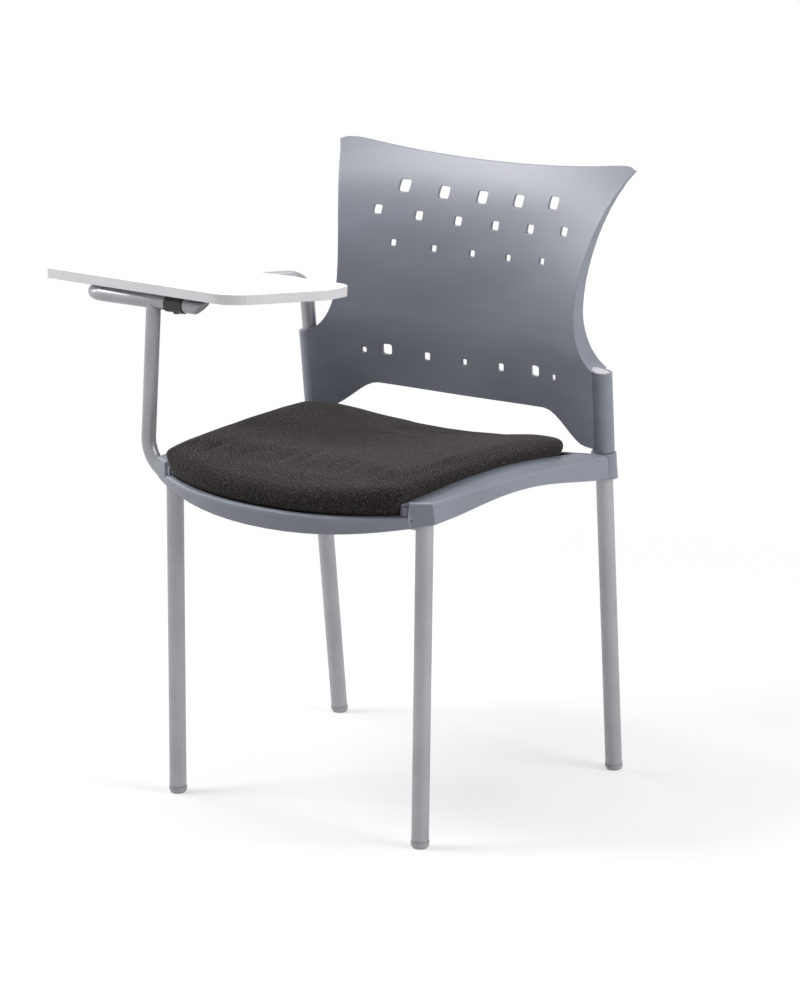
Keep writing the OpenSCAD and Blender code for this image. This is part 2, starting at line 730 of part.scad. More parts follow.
// Depth of the flange: it grows from nothing at the corners down to the sleeves' tops
flange_shares = [
    [0, 1], [0.06, 0.93], [0.14, 0.75], [0.22, 0.62], [0.3, 0.56], [0.38, 0.52],
    [0.54, 0.45], [0.7, 0.3], [0.85, 0.17], [1, 0]
];
function flange_at(z) =
    z < sleeve_top
        ? back_wall
        : mix(back_wall, flange_d, curve(flange_shares, (z - sleeve_top) / (corner_z - sleeve_top)));
// A point of the panel: u across from -1 to 1, row along the side edge
function back_point(u, row, half_cut, depth) =
    let (
        half = side_edge[row][0],
        zs = side_edge[row][1],
        v = (zs - sleeve_foot) / (corner_z - sleeve_foot),
        x = u * (half - half_cut),
        round_off = corner_round * pow(abs(u), corner_power) * pow(v, corner_power),
        z = zs + (1 - v) * (foot_edge(x) - sleeve_foot) + v * (top_edge(x) - top_edge(half)) - round_off
    )
    [x, back_surface(x, z) + depth, z];
function back_col(i) = let (t = 2 * i / back_cols - 1) sign(t) * pow(abs(t), col_power);
function back_ring(row) =
    let (z = side_edge[row][1], f = flange_at(z))
    concat(
        [for (i = [0:back_cols]) back_point(back_col(i), row, 0, 0)],
        [back_point(1, row, 0, f), back_point(1, row, back_wall, f)],
        [for (i = [back_cols:-1:0]) back_point(back_col(i), row, back_wall, back_wall)],
        [back_point(-1, row, back_wall, f), back_point(-1, row, 0, f)]
    );
module back_panel() {
    rows = len(side_edge);
    n = 2 * back_cols + 6;
    ends = [for (row = [0, rows - 1]) for (i = [0:back_cols - 1]) [row, i]];
    polyhedron(
        points = [for (row = [0:rows - 1]) for (p = back_ring(row)) p],
        faces = concat(
            ring_faces(rows, n),
            [
                for (e = ends)
                    let (s = e[0] * n, a = s + e[1], b = a + 1, d = s + 2 * back_cols + 3 - e[1], c = d - 1)
                    for (f = [[a, b, c], [a, c, d]]) e[0] == 0 ? f : [f[2], f[1], f[0]]
            ],
            [
                for (row = [0, rows - 1])
                    let (s = row * n, r0 = s + back_cols, l0 = s, r = back_cols, q = 2 * back_cols)
                    for (f = [
                        [r0, s + r + 1, s + r + 3], [s + r + 1, s + r + 2, s + r + 3],
                        [l0, s + q + 3, s + q + 5], [s + q + 5, s + q + 3, s + q + 4]
                    ]) row == 0 ? f : [f[2], f[1], f[0]]
            ]
        ),
        convexity = 8
    );
}
// Perforations: rows of a height share, then an arch and a size in shares of the
// pitch, and the steps across
hole_row_shares = [
    [0.8676, 0.095, 0.275, [-2, -1, 0, 1, 2]],
    [0.771, 0.077, 0.205, [-2.5, -1.5, -0.5, 0.5, 1.5, 2.5]],
    [0.658, 0.074, 0.148, [-2, -1, 0, 1, 2]],
    [0.2385, 0, 0.135, [0]],
    [0.241, 0, 0.175, [-1, 1]],
    [0.2525, 0, 0.24, [-2, 2]],
    [0.243, 0, 0.126, [-2.56, 2.56]]
];
hole_corner_share = 0.45;
module perforations() {
    for (row = hole_row_shares, k = row[3]) {
        half = row[2] * hole_pitch / 2;
        z = sleeve_foot + row[0] * (corner_z - top_sag - sleeve_foot) + row[1] * hole_pitch * pow(k / 2, 2);
        translate([k * hole_pitch, 2 * back_y + back_curl, z]) rotate([90, 0, 0])
            linear_extrude(2 * back_y + back_curl)
                polygon(rounded(
                    [[-half, -half], [half, -half], [half, half], [-half, half]],
                    [for (i = [0:3]) hole_corner_share * half],
                    3
                ));
    }
}
// A sleeve's rod from its foot, ended by the slope that the flare makes
module sleeve(side, r, lift) {
    difference() {
        rod(mirror_x(rear_axis(sleeve_end - lift), side), mirror_x(rear_axis(waist_z), side), r);
        mirror([side < 0 ? 1 : 0, 0, 0]) above_flare(lift);
    }
}
// All that lies above the flare at the left, raised by a lift
slope_steps = 16;
module above_flare(lift) {
    points = concat(
        [for (i = [0:slope_steps])
            let (a = 90 * (1 - i / slope_steps))
            [flare_x(a), waist_z - flare_h * sin(a) + lift]],
        [[waist_half, corner_z], [2 * corner_half, corner_z], [2 * corner_half, sleeve_top + lift]]
    );
    translate([0, 2 * back_y, 0]) rotate([90, 0, 0])
        linear_extrude(2 * back_y) polygon(points);
}
module back_shell() {
    color(plastic) in_frame() difference() {
        union() {
            difference() {
                back_panel();
                perforations();
            }
            for (side = [-1, 1]) sleeve(side, sleeve_r, 0);
        }
        for (side = [-1, 1]) {
            sleeve(side, leg_r + fit_gap, over);
            s = mirror_x(rear_axis(back_screw_z), side);
            rod(s, s + [0, 2 * sleeve_r, 0], screw_r + fit_gap);
        }
    }
}
module back_screws() {
    color(steel) in_frame() for (side = [-1, 1]) {
        s = mirror_x(rear_axis(back_screw_z), side);
        rod(s + [0, leg_r - leg_wall, 0], s + [0, sleeve_r + over, 0], screw_r);
        head = s + [0, sleeve_r + 2 * seat_gap, 0];
        rod(head, s + [0, sleeve_r + screw_head_h, 0], screw_head_r, screw_head_r / 2);
    }
}
module upright_plug() {
    color("lightgray") in_frame() difference() {
        rod(rear_axis(upright_top + seat_gap), rear_axis(waist_z), leg_r);
        above_flare(-seat_gap);
    }
}

// Arm: up from the right upright, forward under the tablet, across the front
pivot = [0, -pivot_y, seat_z + pivot_rise];
module tablet_frame() {
    translate(pivot) rotate([-tablet_pitch, 0, 0]) children();
}
// Length of the arm tube in the upright
arm_insert = 58;
// Where the right upright's axis meets the tilted plane of the arm
arm_rear_z =
    (pivot[2] - (rear_foot_y + pivot_y) * tan(tablet_pitch)) / (1 + rear_lean_share[1] * tan(tablet_pitch));
arm_path = [
    mirror_x(rear_axis(upright_top - arm_insert), -1),
    mirror_x(rear_axis(arm_rear_z), -1),
    [-arm_corner_x, pivot[1], pivot[2]],
    [-collar_x - collar_l / 2, pivot[1], pivot[2]]
];
arm_bends = [0, arm_rear_bend, arm_front_bend, 0];
module arm_tube() {
    color(steel) in_frame() bent_rod(arm_path, arm_bends, arm_r, arm_r - tube_wall);
}
post_foot = [-socket_out_x - post_bend, -pivot_y, post_foot_z];
module arm_post() {
    path = [[-post_x, -pivot_y, pivot[2]], post_foot, [-socket_out_x + socket_l, -pivot_y, post_foot_z]];
    color(steel) in_frame() difference() {
        bent_rod(path, [0, post_bend, 0], arm_r, arm_r - tube_wall);
        rod(arm_path[2], arm_path[3], arm_r + cope_gap);
    }
}

// Collar: a nylon ring over the arm's end, with a plug in the tube and the pin's bore
module pivot_collar() {
    x0 = -collar_x - collar_l;
    x1 = -collar_x;
    tube_end = arm_path[3][0];
    color("black") in_frame() translate([0, pivot[1], pivot[2]]) difference() {
        union() {
            rod([x0, 0, 0], [x1, 0, 0], collar_r);
            rod([tube_end, 0, 0], [x0 - collar_l / 2, 0, 0], arm_r - tube_wall - fit_gap);
            translate([(x0 + x1) / 2, 0, -collar_r - over]) cylinder(h = collar_r, r = screw_head_r);
        }
        difference() {
            rod([x0 - over, 0, 0], [tube_end, 0, 0], arm_r + fit_gap);
            rod([x0 - collar_l, 0, 0], [tube_end + over, 0, 0], arm_r - tube_wall - fit_gap);
        }
        rod([x0 - collar_l, 0, 0], [x1 + over, 0, 0], pin_r + run_gap);
        translate([x1 - collar_l / 4, 0, -2 * collar_r]) cylinder(h = 2 * collar_r, r = screw_r);
    }
}
module collar_screw() {
    color(steel) in_frame() translate([-collar_x - collar_l / 4, pivot[1], pivot[2] - collar_r - over])
        cylinder(h = collar_r - pin_r + over - seat_gap, r = screw_r - fit_gap);
}

// Pieces that turn with the tablet, in its own tilted frame
pin_plug_l = 8;
pin_insert_share = 1.4;
module pivot_pin() {
    color("dimgray") in_frame() tablet_frame() {
        rod([-collar_x - pin_insert_share * collar_l, 0, 0], [-collar_x + pin_plug_l, 0, 0], pin_r);
        rod([-collar_x + seat_gap, 0, 0], [-collar_x + pin_plug_l, 0, 0], arm_r - tube_wall - fit_gap);
    }
}
// All that lies past the carrier tube's sloping end, drawn back by a shift
module past_slope(shift) {
    x = -collar_x + carrier_reach - shift;
    top = arm_r + over;
    rotate([90, 0, 0]) linear_extrude(4 * arm_r, center = true) polygon([
        [x + over / tan(carrier_rise), top],
        [x - (2 * arm_r + over) / tan(carrier_rise), -top],
        [x + 4 * arm_r, -top],
        [x + 4 * arm_r, top]
    ]);
}
module carrier_tube() {
    a = [-collar_x + seat_gap, 0, 0];
    b = [-collar_x + carrier_reach + over, 0, 0];
    color(steel) in_frame() tablet_frame() difference() {
        rod(a, b, arm_r);
        difference() {
            rod(a - [over, 0, 0], b, arm_r - tube_wall);
            past_slope(tube_wall / sin(carrier_rise));
        }
        past_slope(0);
    }
}
board_under = arm_r + plate_t;
plate_under = arm_r;
// Plate welded on top of the tube and screwed under the board
plate_gap = 4;
plate_corner = 10;
plate_x = -collar_x + plate_gap;
plate_screw_shares = [0.2, 0.8];
module at_tablet_screws(z) {
    for (u = plate_screw_shares, v = plate_screw_shares)
        translate([plate_x + u * plate_w, -arm_r + (v + plate_screw_shares[0] / 2) * plate_l, z])
            children();
}
module carrier_plate() {
    corners = [
        [plate_x, -arm_r], [plate_x + plate_w, -arm_r],
        [plate_x + plate_w, plate_l - arm_r], [plate_x, plate_l - arm_r]
    ];
    color(steel) in_frame() tablet_frame() difference() {
        translate([0, 0, plate_under]) linear_extrude(plate_t)
            polygon(rounded(corners, [for (c = corners) plate_corner], 6));
        at_tablet_screws(plate_under - over) cylinder(h = plate_t + 2 * over, r = screw_r + fit_gap);
    }
}
tablet_bite_share = 0.6;
module tablet_screws() {
    color(steel) in_frame() tablet_frame() at_tablet_screws(plate_under) {
        translate([0, 0, -screw_head_h])
            cylinder(h = screw_head_h, r1 = screw_head_r / 2, r2 = screw_head_r);
        cylinder(h = plate_t + tablet_bite_share * tablet_t, r = screw_r);
    }
}

// Tablet: outline in its own plane, the pivot's line at y = 0
band_t = 1.2;
nose_shares = [0.26, -0.133];
tail_share = -0.03;
shoulder_share = 0.63;
tablet_corners = [
    [-tablet_out, tail_share * tablet_d],
    [-nose_shares[0] * tablet_out, nose_shares[1] * tablet_d],
    [-tablet_in, shoulder_share * tablet_d],
    [-tablet_in, tablet_d],
    [-tablet_out, tablet_d]
];
tablet_radii = [5, 45, 60, 28, 45];
nose_inset_share = 0.6;
function tablet_outline(inset) = rounded(
    [
        tablet_corners[0] + [inset, inset],
        tablet_corners[1] + [-nose_inset_share * inset, inset],
        tablet_corners[2] + [-inset, 0],
        tablet_corners[3] + [-inset, -inset],
        tablet_corners[4] + [inset, -inset]
    ],
    [for (r = tablet_radii) r - inset],
    8
);
module tablet_board() {
    color("white") in_frame() tablet_frame() difference() {
        translate([0, 0, board_under]) linear_extrude(tablet_t) polygon(tablet_outline(band_t));
        at_tablet_screws(board_under - over)
            cylinder(h = over + tablet_bite_share * tablet_t + seat_gap, r = screw_r + fit_gap);
    }
}
module tablet_edge_band() {
    color("gainsboro") in_frame() tablet_frame() translate([0, 0, board_under])
        linear_extrude(tablet_t) difference() {
            polygon(tablet_outline(0));
            polygon(tablet_outline(band_t));
        }
}

module front_leg_left() { front_leg(1); }
module front_leg_right() { front_leg(-1); }
module rear_leg_left() { rear_leg(1); }
module rear_leg_right() { rear_leg(-1); }
module side_rail_left() { side_rail(1); }
module side_rail_right() { side_rail(-1); }
module front_glide_left() { glide(function (z) front_axis(z), front_lean_share, 1); }
module front_glide_right() { glide(function (z) front_axis(z), front_lean_share, -1); }
module rear_glide_left() { glide(function (z) rear_axis(z), rear_lean_share, 1); }
module rear_glide_right() { glide(function (z) rear_axis(z), rear_lean_share, -1); }

front_leg_left();
front_leg_right();
rear_leg_left();
rear_leg_right();
side_rail_left();
side_rail_right();
front_cross_tube();
rear_cross_tube();
arm_socket();
front_glide_left();
front_glide_right();
rear_glide_left();
rear_glide_right();
seat_shell();
seat_screws();
cushion_board();
seat_cushion();
board_screws();
back_shell();
back_screws();
upright_plug();
arm_tube();
arm_post();
pivot_collar();
collar_screw();
pivot_pin();
carrier_tube();
carrier_plate();
tablet_board();
tablet_edge_band();
tablet_screws();
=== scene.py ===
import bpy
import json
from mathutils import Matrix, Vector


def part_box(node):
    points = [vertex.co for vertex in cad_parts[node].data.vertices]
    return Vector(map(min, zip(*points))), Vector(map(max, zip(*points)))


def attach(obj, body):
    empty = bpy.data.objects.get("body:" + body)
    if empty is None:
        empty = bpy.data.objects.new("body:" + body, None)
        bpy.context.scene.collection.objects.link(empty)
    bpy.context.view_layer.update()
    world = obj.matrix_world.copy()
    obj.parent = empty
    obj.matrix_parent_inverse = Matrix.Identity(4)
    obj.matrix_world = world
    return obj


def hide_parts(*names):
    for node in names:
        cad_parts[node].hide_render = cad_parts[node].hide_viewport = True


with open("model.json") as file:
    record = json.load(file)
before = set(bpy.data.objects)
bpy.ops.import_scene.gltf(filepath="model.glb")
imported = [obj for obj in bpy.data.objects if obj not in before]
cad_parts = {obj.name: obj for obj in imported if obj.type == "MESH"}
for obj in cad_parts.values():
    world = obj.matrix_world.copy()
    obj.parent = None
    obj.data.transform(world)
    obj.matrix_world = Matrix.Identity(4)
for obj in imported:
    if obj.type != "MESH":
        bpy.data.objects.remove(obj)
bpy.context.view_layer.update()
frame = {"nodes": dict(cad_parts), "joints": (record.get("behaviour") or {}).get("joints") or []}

import json
import math

import bpy
from mathutils import Vector

bl_info = {
    "name": "Tablet Arm Chair",
    "version": (1, 0, 0),
    "blender": (4, 5, 0),
    "location": "3D View > Sidebar > Chair",
    "description": "Finishes for a stacking chair with a writing tablet on its arm",
    "category": "Object",
}

# Places of the chair, in metres, from its own middle line and floor
PIVOT_FROM_MIDDLE = Vector((-0.210, -0.200, 0.633))
HINGE = next(joint for joint in frame["joints"] if joint["name"] == "tablet_flip")
MIDDLE = Vector(HINGE["pos_m"]) - PIVOT_FROM_MIDDLE
SEAT_LOW, SEAT_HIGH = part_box("seat_cushion")

# Camera, as the photograph was taken
CAMERA_FROM_MIDDLE = Vector((2.81899, -4.05580, 1.62470))
CAMERA_AHEAD = Vector((-0.5536, 0.7953, -0.2468))
CAMERA_LENS = 142.326

# Studio
FLOOR_HALF = 30.0
FLOOR_DROP = 0.0004
WORLD_LIGHT = 0.14

# Cushion: welded within a hair, tucked in up to a height, and blown up in steps
SAME_PLACE = 0.00002
TUCK_HEIGHT = 0.024
TUCK_FADE = 0.012
FOAM_STEPS = 20


# Shader values and finishes


class Shade:
    """One output of a finish's nodes, on which sums are written as Python expressions."""

    def __init__(self, finish, socket):
        self.finish = finish
        self.socket = socket

    def maths(self, operation, *values, clamp=False):
        return self.finish.node(
            "ShaderNodeMath", {"operation": operation, "use_clamp": clamp}, dict(enumerate(values))
        )

    def __add__(self, other):
        return self.maths("ADD", self, other)

    def __radd__(self, other):
        return self.maths("ADD", other, self)

    def __sub__(self, other):
        return self.maths("SUBTRACT", self, other)

    def __rsub__(self, other):
        return self.maths("SUBTRACT", other, self)

    def __mul__(self, other):
        return self.maths("MULTIPLY", self, other)

    def __rmul__(self, other):
        return self.maths("MULTIPLY", other, self)

    def sine(self):
        return self.maths("SINE", self)

    def held(self):
        """Kept between 0 and 1."""
        return self.maths("ADD", self, 0.0, clamp=True)

    def ramp(self, low, high):
        """0 at low and 1 at high, with soft ends."""
        return self.finish.node(
            "ShaderNodeMapRange",
            {"interpolation_type": "SMOOTHSTEP"},
            {0: self, 1: low, 2: high, 3: 0.0, 4: 1.0},
        )


class Finish:
    """A material or a world, and the nodes that make it."""

    def __init__(self, name, kind=None):
        self.owner = (bpy.data.materials if kind is None else kind).new(name)
        self.owner.use_nodes = True
        self.nodes = self.owner.node_tree.nodes
        self.links = self.owner.node_tree.links
        self.nodes.clear()

    def node(self, kind, settings=None, inputs=None, output=0):
        """One node with its settings, then the values or links of its sockets."""
        made = self.nodes.new(kind)
        for name, value in (settings or {}).items():
            setattr(made, name, value)
        for key, value in (inputs or {}).items():
            if isinstance(value, Shade):
                self.links.new(value.socket, made.inputs[key])
            else:
                made.inputs[key].default_value = value
        return None if output is None else Shade(self, made.outputs[output])

    def places(self):
        """Places on the piece, in metres."""
        return self.node("ShaderNodeTexCoord", output="Object")

    def facing(self):
        return self.node("ShaderNodeTexCoord", output="Normal")

    def parts(self, vector):
        made = self.node("ShaderNodeSeparateXYZ", None, {0: vector})
        return [Shade(self, output) for output in made.socket.node.outputs]

    def vector(self, operation, *values, output=0):
        return self.node(
            "ShaderNodeVectorMath", {"operation": operation}, dict(enumerate(values)), output
        )

    def noise(self, scale, detail=2.0, rough=0.5, stretch=None):
        place = self.places()
        if stretch:
            place = self.vector("MULTIPLY", place, stretch)
        return self.node(
            "ShaderNodeTexNoise",
            None,
            {"Vector": place, "Scale": scale, "Detail": detail, "Roughness": rough},
        )

    def mixed(self, share, low, high):
        """A colour between two others, by a share."""
        values = {0: share, 6: low, 7: high}
        for key in (6, 7):
            if not isinstance(values[key], Shade) and len(values[key]) == 3:
                values[key] = (*values[key], 1)
        return self.node("ShaderNodeMix", {"data_type": "RGBA"}, values, 2)

    def edges(self, radius, samples=6):
        """The surface's direction with its edges rounded off by a radius."""
        return self.node("ShaderNodeBevel", {"samples": samples}, {"Radius": radius})

    def worn_edge(self, radius):
        """1 along the edges that hands and shoes rub, 0 on the flats."""
        soft = self.edges(radius, 4)
        flat = self.node("ShaderNodeNewGeometry", output="Normal")
        together = self.vector("DOT_PRODUCT", soft, flat, output="Value")
        return (1 - together).ramp(0.002, 0.12)

    def seen(self):
        """1 to the camera, mirrors and glass, 0 to the light that falls on things."""
        path = self.node("ShaderNodeLightPath").socket.node.outputs
        camera, glossy, through = (
            Shade(self, path[name]) for name in ("Is Camera Ray", "Is Glossy Ray", "Is Transmission Ray")
        )
        return (camera + glossy + through).held()

    def relief(self, height, depth, edge=None):
        inputs = {"Strength": 1.0, "Distance": depth, "Height": height}
        if edge:
            inputs["Normal"] = edge
        return self.node("ShaderNodeBump", None, inputs)

    def surface(self, inputs):
        made = self.node("ShaderNodeBsdfPrincipled", None, inputs)
        self.node("ShaderNodeOutputMaterial", None, {0: made}, None)
        return self.owner


def colour_of(value):
    return tuple(value)[:3]


def darker(colour, share):
    return tuple(c * share for c in colour)


def dress(name, material):
    """Gives a node of the frame its finish."""
    node = frame["nodes"][name]
    node.data.materials.clear()
    node.data.materials.append(material)
    return node


def smoothed(name, angle):
    """Shades a moulded node as one skin, broken only where it turns by more than an angle."""
    node = frame["nodes"][name]
    custom = node.data.attributes.get("custom_normal")
    if custom:
        node.data.attributes.remove(custom)
    for face in node.data.polygons:
        face.use_smooth = True
    weld = node.modifiers.new("joined_skin", "WELD")
    weld.merge_threshold = SAME_PLACE
    split = node.modifiers.new("sharp_edges", "EDGE_SPLIT")
    split.split_angle = angle
    split.use_edge_sharp = False
    even = node.modifiers.new("even_shading", "WEIGHTED_NORMAL")
    even.weight = 50
    return node


# Sizes and colours that a user would change


def colour_property(name, description, default):
    return bpy.props.FloatVectorProperty(
        name=name, description=description, default=default, size=3, min=0, max=1, subtype="COLOR"
    )


def length_property(name, description, default):
    return bpy.props.FloatProperty(
        name=name, description=description, default=default, min=0,
        unit="LENGTH", subtype="DISTANCE", precision=5,
    )


class ChairSizes(bpy.types.PropertyGroup):
    edge_round: length_property("Moulded edge", "Rounding of the mouldings' edges", 0.0012)
    board_round: length_property("Tablet edge", "Rounding of the tablet's edges", 0.0008)
    metal_round: length_property("Metal edge", "Rounding of cut tube and plate edges", 0.0004)
    grain: length_property("Moulded grain", "Size of the fine grain on the mouldings", 0.0009)
    thread: length_property("Thread pitch", "Distance between threads of the seat's cloth", 0.0032)
    voxel: length_property("Cushion mesh", "Size of the cushion's mesh before it swells", 0.005)
    swell: length_property("Cushion swell", "Most that the foam may push the cloth out", 0.006)
    shrink: length_property("Cushion allowance", "How much smaller the cushion starts", 0.0008)


class ChairColours(bpy.types.PropertyGroup):
    steel: colour_property("Steel", "Silver coat of the tubes", (0.34, 0.346, 0.362))
    shell: colour_property("Mouldings", "Slate grey of the seat tray and backrest", (0.158, 0.17, 0.205))
    glide: colour_property("Glides", "Grey of the plastic feet", (0.27, 0.275, 0.285))
    cloth: colour_property("Cloth", "Ground colour of the seat's cloth", (0.0075, 0.0062, 0.006))
    # Pale yarn of the cloth, also the colour of the painted highlight on the rib crests
    pale_fleck_and_highlight: colour_property("Fleck", "Light threads in the seat's cloth", (0.085, 0.073, 0.066))
    laminate: colour_property("Tablet", "White face of the tablet", (0.86, 0.86, 0.87))
    band: colour_property("Edge band", "Band round the tablet", (0.66, 0.65, 0.67))
    collar: colour_property("Collar", "Black nylon of the pivot's collar", (0.012, 0.012, 0.014))
    zinc: colour_property("Zinc", "Plated screws and pin", (0.62, 0.63, 0.65))
    board: colour_property("Board", "Pressed board under the cushion", (0.33, 0.22, 0.13))
    plug: colour_property("Plug", "Cap in the free upright", (0.45, 0.46, 0.48))
    floor: colour_property("Floor", "Pale studio floor", (0.82, 0.82, 0.83))


def sizes():
    return bpy.context.scene.chair_sizes


def colours():
    return bpy.context.scene.chair_colours


# Finishes


def coated_steel():
    """Silver powder coat: a fine pebble, faint clouding, scuffs near the floor, and painted glints as
    paler specks.
    """
    finish = Finish("coated_steel")
    z = finish.parts(finish.places())[2]
    pebble = finish.noise(1400.0, 3.0, rough=0.6)
    clouds = finish.noise(14.0, 3.0)
    scratches = finish.noise(60.0, 6.0, rough=0.7, stretch=(1.0, 1.0, 0.12))
    low = 1 - z.ramp(0.02, 0.16)
    scuff = (scratches.ramp(0.52, 0.72) * low).held()
    base = colour_of(colours().steel)
    shade = finish.mixed(clouds.ramp(0.3, 0.7), darker(base, 0.92), darker(base, 1.05))
    shade = finish.mixed(scuff * 0.55, shade, darker(base, 0.45))
    # Painted glints: fine specks painted paler into the coat's colour
    painted_glint = finish.noise(2600.0, 1.0).ramp(0.62, 0.78)
    return finish.surface({
        "Base Color": finish.mixed(painted_glint * 0.35, shade, darker(base, 1.35)),
        "Metallic": 0.55,
        "Roughness": 0.31 + 0.12 * pebble + 0.15 * scuff,
        "Normal": finish.relief(pebble, 0.00012, finish.edges(sizes().metal_round)),
    })


def moulded_plastic(name, base, edge_round):
    """Glass-filled moulding: fine grain, faint flow marks, and paler rubbed edges."""
    finish = Finish(name)
    grain = finish.noise(1.0 / sizes().grain, 2.5, rough=0.55)
    flow = finish.noise(9.0, 4.0, rough=0.6, stretch=(1.0, 1.0, 2.2))
    specks = finish.noise(900.0, 1.0).ramp(0.68, 0.8)
    worn = finish.worn_edge(2.2 * edge_round)
    shade = finish.mixed(flow.ramp(0.3, 0.72), darker(base, 0.93), darker(base, 1.07))
    shade = finish.mixed(specks * 0.3, shade, darker(base, 1.5))
    shade = finish.mixed(worn * 0.35, shade, darker(base, 1.7))
    return finish.surface({
        "Base Color": shade,
        "Roughness": 0.31 + 0.1 * grain + 0.08 * flow,
        "Specular IOR Level": 0.62,
        "Normal": finish.relief(grain, 0.00009, finish.edges(edge_round, 8)),
    })


def glide_plastic():
    """Grey feet, rubbed rough and dusty where they meet the floor."""
    finish = Finish("glide_plastic")
    z = finish.parts(finish.places())[2]
    grit = finish.noise(500.0, 4.0, rough=0.7)
    foot = 1 - z.ramp(0.001, 0.009)
    base = colour_of(colours().glide)
    shade = finish.mixed(grit.ramp(0.35, 0.7) * foot, base, darker(base, 1.6))
    return finish.surface({
        "Base Color": shade,
        "Roughness": 0.5 + 0.3 * foot * grit,
        "Normal": finish.relief(grit, 0.0001, finish.edges(0.0008)),
    })


def plated_metal(name, base, rough):
    """Zinc on small steel: brushed in rings, a little cloudy."""
    finish = Finish(name)
    brushed = finish.noise(900.0, 3.0, rough=0.65, stretch=(1.0, 1.0, 0.2))
    clouds = finish.noise(120.0, 3.0)
    return finish.surface({
        "Base Color": finish.mixed(clouds.ramp(0.3, 0.7), darker(base, 0.82), base),
        "Metallic": 0.95,
        "Roughness": rough + 0.14 * brushed,
        "Normal": finish.relief(brushed, 0.00004, finish.edges(0.0003)),
    })


def collar_nylon():
    """Black nylon: soft mould grain with a dull sheen."""
    finish = Finish("collar_nylon")
    grain = finish.noise(1600.0, 3.0)
    worn = finish.worn_edge(0.0012)
    base = colour_of(colours().collar)
    return finish.surface({
        "Base Color": finish.mixed(worn * 0.5, base, (0.05, 0.05, 0.055)),
        "Roughness": 0.34 + 0.2 * grain,
        "Normal": finish.relief(grain, 0.00008, finish.edges(0.0008)),
    })


def woven_cloth():
    """Twill over foam: dark ground, pale threads along the diagonal with painted highlights on their
    raised crests, and lint.
    """
    finish = Finish("woven_cloth")
    x, y, z = finish.parts(finish.places())
    nx, ny = finish.parts(finish.facing())[:2]
    drop = SEAT_HIGH.z - z
    turns = 2 * math.pi / sizes().thread
    along = (x + nx * drop) * turns
    across = (y + ny * drop) * turns
    wander = finish.noise(70.0, 2.0)
    rib = ((along + across) * 0.7071 + 1.6 * wander).sine()
    floats = ((along - across) * 0.25 + 9.0 * wander).sine()
    over = 0.5 + 0.5 * rib
    twist = finish.noise(380.0, 2.0, rough=0.7)
    # Pale yarn along the ribs with painted highlight: the raised rib crests are painted lighter
    crest_highlight_and_fleck = (over.ramp(0.45, 0.95) * twist.ramp(0.4, 0.62) * (0.75 + 0.25 * floats)).held()
    faded = finish.noise(11.0, 3.0).ramp(0.3, 0.7)
    lint = finish.noise(420.0, 0.0).ramp(0.79, 0.83)
    ground = colour_of(colours().cloth)
    pale_fleck_and_highlight = colour_of(colours().pale_fleck_and_highlight)
    shade = finish.mixed(faded, darker(ground, 0.85), darker(ground, 1.2))
    # Painted highlight and pale yarn on the rib crests
    shade = finish.mixed(crest_highlight_and_fleck * 0.9, shade, pale_fleck_and_highlight)
    shade = finish.mixed(lint * 0.5, shade, darker(pale_fleck_and_highlight, 2.2))
    height = over * 0.8 + 0.2 * twist
    return finish.surface({
        "Base Color": shade,
        "Roughness": 0.92 - 0.14 * crest_highlight_and_fleck,
        "Sheen Weight": 0.04,
        "Sheen Roughness": 0.5,
        "Sheen Tint": (0.9, 0.82, 0.76, 1),
        "Specular IOR Level": 0.2,
        "Normal": finish.relief(height, 0.0003),
    })


def pressed_board():
    """Flakes of pressed board, which the cushion hides."""
    finish = Finish("pressed_board")
    flakes = finish.noise(260.0, 4.0, rough=0.7, stretch=(1.0, 0.45, 1.0))
    base = colour_of(colours().board)
    return finish.surface({
        "Base Color": finish.mixed(flakes.ramp(0.35, 0.65), darker(base, 0.7), darker(base, 1.25)),
        "Roughness": 0.75 + 0.1 * flakes,
        "Normal": finish.relief(flakes, 0.0002),
    })


def tablet_laminate():
    """White melamine: a fine pearl texture with faint wipe marks."""
    finish = Finish("tablet_laminate")
    pearl = finish.noise(1300.0, 2.0)
    wipes = finish.noise(7.0, 4.0, rough=0.6, stretch=(1.0, 2.5, 1.0))
    base = colour_of(colours().laminate)
    return finish.surface({
        "Base Color": finish.mixed(wipes.ramp(0.35, 0.7), darker(base, 0.975), base),
        "Roughness": 0.32 + 0.1 * pearl + 0.06 * wipes,
        "Normal": finish.relief(pearl, 0.00004, finish.edges(sizes().board_round)),
    })


def edge_band():
    """Plastic band glued round the board, with knife marks along it."""
    finish = Finish("edge_band")
    marks = finish.noise(700.0, 3.0, rough=0.6, stretch=(0.3, 0.3, 1.6))
    smudge = finish.noise(26.0, 3.0).ramp(0.35, 0.75)
    base = colour_of(colours().band)
    return finish.surface({
        "Base Color": finish.mixed(smudge, darker(base, 0.93), base),
        "Roughness": 0.36 + 0.14 * marks,
        "Normal": finish.relief(marks, 0.00005, finish.edges(sizes().board_round)),
    })


# Pieces


class CHAIR_OT_frame(bpy.types.Operator):
    """Coats the legs, rails, arm, post, socket and carrier with silver"""

    bl_idname = "tablet_chair.frame"
    bl_label = "Coat the Frame"

    def execute(self, context):
        steel = coated_steel()
        for name in (
            "front_leg_left", "front_leg_right", "rear_leg_left", "rear_leg_right",
            "side_rail_left", "side_rail_right", "front_cross_tube", "rear_cross_tube",
            "arm_socket", "arm_tube", "arm_post", "carrier_tube", "carrier_plate",
        ):
            dress(name, steel)
        return {"FINISHED"}


class CHAIR_OT_glides(bpy.types.Operator):
    """Finishes the four plastic feet"""

    bl_idname = "tablet_chair.glides"
    bl_label = "Finish the Glides"

    def execute(self, context):
        plastic = glide_plastic()
        for name in ("front_glide_left", "front_glide_right", "rear_glide_left", "rear_glide_right"):
            dress(name, plastic)
        return {"FINISHED"}


